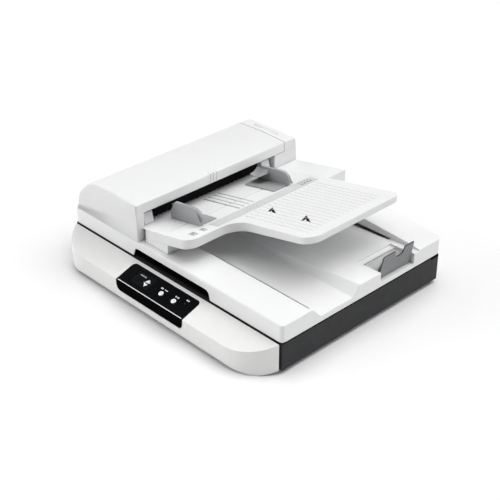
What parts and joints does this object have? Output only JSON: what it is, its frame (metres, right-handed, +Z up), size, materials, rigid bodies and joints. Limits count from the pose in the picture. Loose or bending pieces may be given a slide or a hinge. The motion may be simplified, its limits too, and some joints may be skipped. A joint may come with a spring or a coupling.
{
  "type": "document scanner",
  "caption": "Flatbed scanner whose lid carries a sheet feeder with a sloping input tray, sliding guides, a hinged cover and a folding paper stop.",
  "frame": {"origin": "on the table under the middle of the machine's outline", "axes": "+X to the right of someone at the control panel, +Y to the back, +Z up"},
  "size_m": [0.594, 0.499, 0.1955],
  "materials": {
    "white_plastic": "fine satin moulded plastic",
    "pale_plastic": "satin moulded plastic",
    "grey_plastic": "satin moulded plastic",
    "charcoal_plastic": "finely textured plastic",
    "black_plastic": "matt plastic",
    "gloss_black": "polished black panel",
    "display_plastic": "smoked clear window",
    "key_white": "smooth white key",
    "lamp_plastic": "frosted lens",
    "rubber": "matt rubber",
    "glass": "clear float glass",
    "steel": "plated steel",
    "board_green": "solder-masked board",
    "white_foam": "white foam-backed sheet"
  },
  "bodies": {
    "base": {"base_pan": "charcoal_plastic", "front_cover": "white_plastic", "control_panel": "gloss_black", "display_window": "display_plastic", "status_lamp": "lamp_plastic", "platen_frame": "black_plastic", "flatbed_glass": "glass", "adf_scan_glass": "glass", "main_board": "board_green", "power_inlet": "black_plastic", "usb_socket": "black_plastic", "foot_front_left": "rubber", "foot_front_right": "rubber", "foot_rear_left": "rubber", "foot_rear_right": "rubber", "carriage_rail": "steel", "carriage_motor": "steel", "carriage_belt": "rubber", "hinge_base_left": "steel", "hinge_base_right": "steel"},
    "carriage": {"scan_carriage": "black_plastic", "sensor_bar": "glass"},
    "motor_pulley": {"motor_pulley": "pale_plastic"},
    "idler_pulley": {"idler_pulley": "pale_plastic"},
    "key_up": {"key_up": "key_white"},
    "key_down": {"key_down": "key_white"},
    "key_scan": {"key_scan": "key_white"},
    "key_cancel": {"key_cancel": "key_white"},
    "power_switch": {"power_switch": "black_plastic"},
    "lid": {"lid_cover": "white_plastic", "lid_base_plate": "white_plastic", "backing_pad": "white_foam", "grip_pocket": "black_plastic", "hinge_arm_left": "steel", "hinge_arm_right": "steel", "adf_chassis": "black_plastic", "adf_rear_end": "white_plastic", "rear_platform": "white_plastic", "tray_bracket": "white_plastic", "input_tray": "white_plastic", "size_scale": "pale_plastic", "front_guard": "pale_plastic", "rear_guard": "pale_plastic", "separation_pad": "rubber", "adf_motor": "steel", "adf_belt": "rubber", "cover_hinge_front": "white_plastic", "cover_hinge_rear": "white_plastic"},
    "adf_cover": {"adf_cover": "white_plastic"},
    "pickup_arm": {"pickup_arm": "grey_plastic"},
    "pickup_roller": {"pickup_roller": "rubber"},
    "feed_roller": {"feed_roller": "rubber"},
    "drive_roller": {"drive_roller": "rubber"},
    "exit_roller": {"exit_roller": "rubber"},
    "adf_motor_gear": {"adf_motor_gear": "pale_plastic"},
    "front_guide": {"front_guide": "grey_plastic"},
    "rear_guide": {"rear_guide": "grey_plastic"},
    "guide_pinion": {"guide_pinion": "white_plastic"},
    "exit_stopper": {"exit_stopper": "grey_plastic"}
  },
  "joints": [
    {"name": "lid_hinge", "type": "hinge", "parent": "base", "child": "lid", "pos_m": [0, 0.2435, 0.0702], "axis": [-1, 0, 0], "range_deg": [0, 75]},
    {"name": "adf_cover_hinge", "type": "hinge", "parent": "lid", "child": "adf_cover", "pos_m": [-0.2866, 0, 0.1062], "axis": [0, -1, 0], "range_deg": [0, 80]},
    {"name": "front_guide_slide", "type": "slide", "parent": "lid", "child": "front_guide", "axis": [0, -1, 0], "range_m": [-0.056, 0.036]},
    {"name": "rear_guide_slide", "type": "slide", "parent": "lid", "child": "rear_guide", "axis": [0, 1, 0], "range_m": [-0.056, 0.036]},
    {"name": "guide_pinion_turn", "type": "hinge", "parent": "lid", "child": "guide_pinion", "pos_m": [-0.032, 0.004, 0.14269], "axis": [-0.1942, 0, 0.981], "range_deg": [-215, 140]},
    {"name": "exit_stopper_fold", "type": "hinge", "parent": "lid", "child": "exit_stopper", "pos_m": [0.2815, 0.118, 0.0885], "axis": [0, -1, 0], "range_deg": [0, 100]},
    {"name": "drive_roller_spin", "type": "hinge", "parent": "lid", "child": "drive_roller", "pos_m": [-0.235, 0.004, 0.115], "axis": [0, 1, 0], "continuous": true},
    {"name": "feed_roller_spin", "type": "hinge", "parent": "lid", "child": "feed_roller", "pos_m": [-0.16, 0.004, 0.1289], "axis": [0, 1, 0], "continuous": true},
    {"name": "exit_roller_spin", "type": "hinge", "parent": "lid", "child": "exit_roller", "pos_m": [-0.125, 0.004, 0.0925], "axis": [0, 1, 0], "continuous": true},
    {"name": "adf_motor_gear_spin", "type": "hinge", "parent": "lid", "child": "adf_motor_gear", "pos_m": [-0.2, 0.1757, 0.095], "axis": [0, 1, 0], "continuous": true},
    {"name": "pickup_arm_swing", "type": "hinge", "parent": "lid", "child": "pickup_arm", "pos_m": [-0.16, 0.004, 0.1289], "axis": [0, -1, 0], "range_deg": [0, 8]},
    {"name": "pickup_roller_spin", "type": "hinge", "parent": "pickup_arm", "child": "pickup_roller", "pos_m": [-0.125, 0.004, 0.133], "axis": [0, 1, 0], "continuous": true},
    {"name": "carriage_slide", "type": "slide", "parent": "base", "child": "carriage", "axis": [1, 0, 0], "range_m": [0, 0.46]},
    {"name": "motor_pulley_spin", "type": "hinge", "parent": "base", "child": "motor_pulley", "pos_m": [0.2675, -0.1425, 0.0285], "axis": [0, 0, 1], "continuous": true},
    {"name": "idler_pulley_spin", "type": "hinge", "parent": "base", "child": "idler_pulley", "pos_m": [-0.284, -0.1425, 0.0285], "axis": [0, 0, 1], "continuous": true},
    {"name": "key_up_press", "type": "slide", "parent": "base", "child": "key_up", "axis": [0, 0.3212, -0.947], "range_m": [0, 0.0006], "stiffness_N_per_m": 300},
    {"name": "key_down_press", "type": "slide", "parent": "base", "child": "key_down", "axis": [0, 0.3212, -0.947], "range_m": [0, 0.0006], "stiffness_N_per_m": 300},
    {"name": "key_scan_press", "type": "slide", "parent": "base", "child": "key_scan", "axis": [0, 0.3212, -0.947], "range_m": [0, 0.0006], "stiffness_N_per_m": 300},
    {"name": "key_cancel_press", "type": "slide", "parent": "base", "child": "key_cancel", "axis": [0, 0.3212, -0.947], "range_m": [0, 0.0006], "stiffness_N_per_m": 300},
    {"name": "power_switch_rock", "type": "hinge", "parent": "base", "child": "power_switch", "pos_m": [-0.245, 0.244, 0.032], "axis": [1, 0, 0], "range_deg": [0, 8]}
  ],
  "couplings": [
    {"joint": "rear_guide_slide", "follows": "front_guide_slide", "ratio": 1},
    {"joint": "guide_pinion_turn", "follows": "front_guide_slide", "rad_per_m": 66.667},
    {"joint": "feed_roller_spin", "follows": "drive_roller_spin", "ratio": 1.4286},
    {"joint": "exit_roller_spin", "follows": "drive_roller_spin", "ratio": 1.4286},
    {"joint": "adf_motor_gear_spin", "follows": "drive_roller_spin", "ratio": 2},
    {"joint": "pickup_roller_spin", "follows": "drive_roller_spin", "ratio": 1.4286},
    {"joint": "motor_pulley_spin", "follows": "carriage_slide", "rad_per_m": 163.93},
    {"joint": "idler_pulley_spin", "follows": "carriage_slide", "rad_per_m": 163.93}
  ]
}
